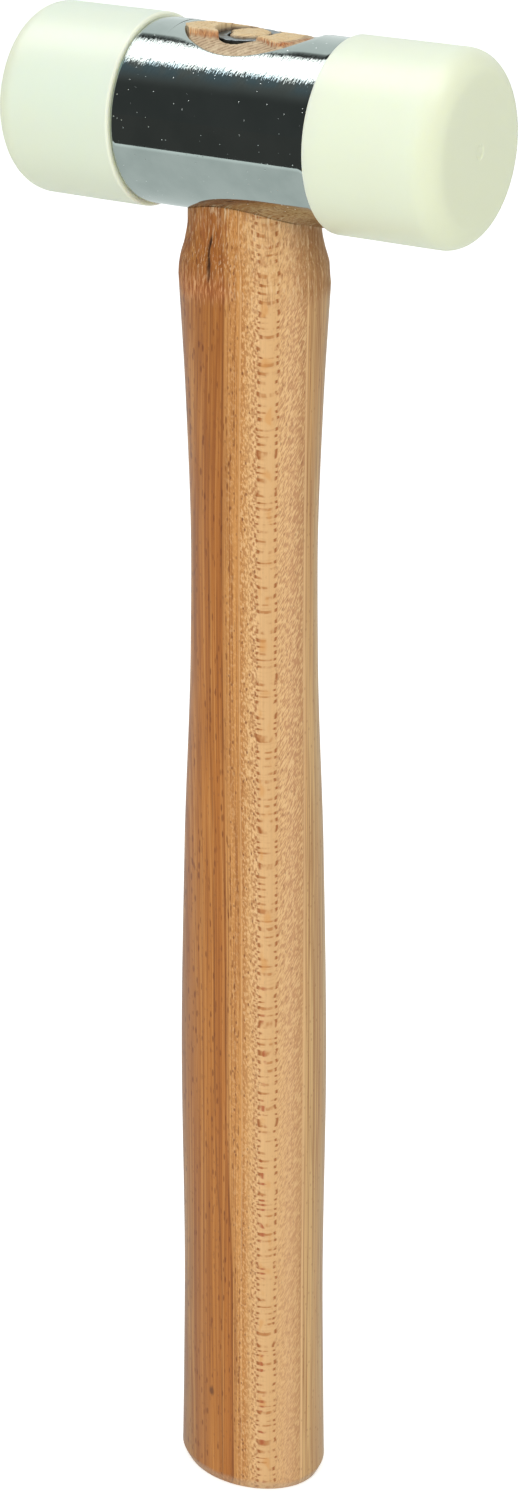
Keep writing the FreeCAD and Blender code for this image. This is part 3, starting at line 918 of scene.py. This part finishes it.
def card(name, size, place, turn, colour, strength):
    """A flat glowing card that only reflections show."""
    material, tree = new_material(name)
    tree.nodes.clear()
    out = tree.nodes.new("ShaderNodeOutputMaterial")
    tree.links.new(emission(tree, colour, strength), out.inputs["Surface"])
    made = placed(name, flat_square(2, 0.5), material)
    made.scale = (*size, 1.0)
    made.rotation_euler = turn
    made.location = place
    for kind in ("camera", "diffuse", "transmission", "volume_scatter", "shadow"):
        setattr(made, f"visible_{kind}", False)


def floor():
    """A plain pale floor: white to the eye, and a softer grey in the chrome, lighter towards the front."""
    material, tree = new_material("pale_floor")
    shader = tree.nodes["Principled BSDF"]
    shader.inputs["Base Color"].default_value = rgb("#F4F5F3")
    shader.inputs["Roughness"].default_value = 0.9
    shader.inputs["Specular IOR Level"].default_value = 0.1
    path = tree.nodes.new("ShaderNodeLightPath")
    forward = position(tree, "Object")[1]
    glow = emission(tree, "#FFFFFF", Value(tree, path.outputs["Is Camera Ray"]) * 0.35 + 0.12)
    mirror = emission(tree, "#D9E2E0", forward.rise(-0.34, -0.4) * 0.42 + 1.08)
    add = tree.nodes.new("ShaderNodeAddShader")
    tree.links.new(shader.outputs[0], add.inputs[0])
    tree.links.new(glow, add.inputs[1])
    pick = choose(tree, path.outputs["Is Glossy Ray"], add.outputs[0], mirror)
    tree.links.new(pick, tree.nodes["Material Output"].inputs["Surface"])
    made = placed("floor", flat_square(8, 3.0), material)
    made.location = (0, 0, -0.2 * MM)


def world():
    """White behind the object, soft light all round it, and a dark studio in its reflections."""
    made = bpy.data.worlds.new("studio")
    bpy.context.scene.world = made
    made.use_nodes = True
    tree = made.node_tree
    tree.nodes.clear()
    path = tree.nodes.new("ShaderNodeLightPath")
    x, y, z = position(tree, "Generated")

    def backdrop(colour, strength):
        """Light from everywhere; its strength is a number or a value."""
        node = tree.nodes.new("ShaderNodeBackground")
        node.inputs["Color"].default_value = rgb(colour)
        set_input(tree, node.inputs["Strength"], strength)
        return node.outputs[0]

    # beta is the angle of a ray about the head's axis: 0 to the front, 90 overhead, 180 behind.
    beta = z.bearing(y * -1.0)
    wall = beta.rise(113.0, 119.0)
    haze = beta.rise(38.0, 66.0) * beta.rise(110.0, 100.0)
    below = z.rise(0.0, -0.01)
    mirror = backdrop("#DEE6E4", wall * 1.2 + haze * 0.16 + below * 0.85 + 0.088)
    fill = backdrop("#FFFFFF", x * -0.02 + z * 0.12 + y * -0.04 + 0.66)
    lit = choose(tree, path.outputs["Is Diffuse Ray"], mirror, fill)
    seen = choose(tree, path.outputs["Is Camera Ray"], lit, backdrop("#FFFFFF", 1.0))
    out = tree.nodes.new("ShaderNodeOutputWorld")
    tree.links.new(seen, out.inputs["Surface"])


def light(name, place, target, size, power):
    """A soft square that lights the object and doesn't show in its reflections."""
    data = bpy.data.lights.new(name, "AREA")
    data.shape, data.size, data.energy = "SQUARE", size, power
    made = bpy.data.objects.new(name, data)
    bpy.context.scene.collection.objects.link(made)
    made.location = place
    made.rotation_euler = (Vector(target) - Vector(place)).to_track_quat("-Z", "Y").to_euler()
    made.visible_glossy = False


def camera(place, direction, lens, roll):
    """The camera, looking in a direction through a lens of that many millimetres."""
    data = bpy.data.cameras.new("camera")
    data.lens, data.sensor_width, data.clip_start = lens, 36.0, 0.01
    made = bpy.data.objects.new("camera", data)
    bpy.context.scene.collection.objects.link(made)
    made.location = place
    aim = Vector(direction).to_track_quat("-Z", "Y")
    made.rotation_euler = (aim.to_matrix().to_4x4() @ Matrix.Rotation(roll, 4, "Z")).to_euler()
    bpy.context.scene.camera = made


nylon = nylon_look()
tip("tip_right_nylon", "tip_right", 1, nylon)
tip("tip_left_nylon", "tip_left", -1, nylon)
head_tube(chrome_look())
ring_wedge(steel_look())
handle(wood_look())

floor()
card("table_edge", (3.0, 0.30), (0, -0.41, 0.15), (math.pi / 2, 0, 0), "#2B2C2B", 2.8)
card("softbox", (2.6, 0.62), (-0.25, -0.02, 1.2), (0, 0, 0), "#FFFFFF", 3.2)
world()
light("key", (0.5, -1.05, 1.15), (0, 0, 0.18), 0.9, 9.0)
camera(place=(0.31087, -0.50065, 0.41107), direction=(-0.4845, 0.783419, -0.389249), lens=79.6,
       roll=math.radians(0.1))
bpy.context.scene.view_settings.view_transform = "Standard"
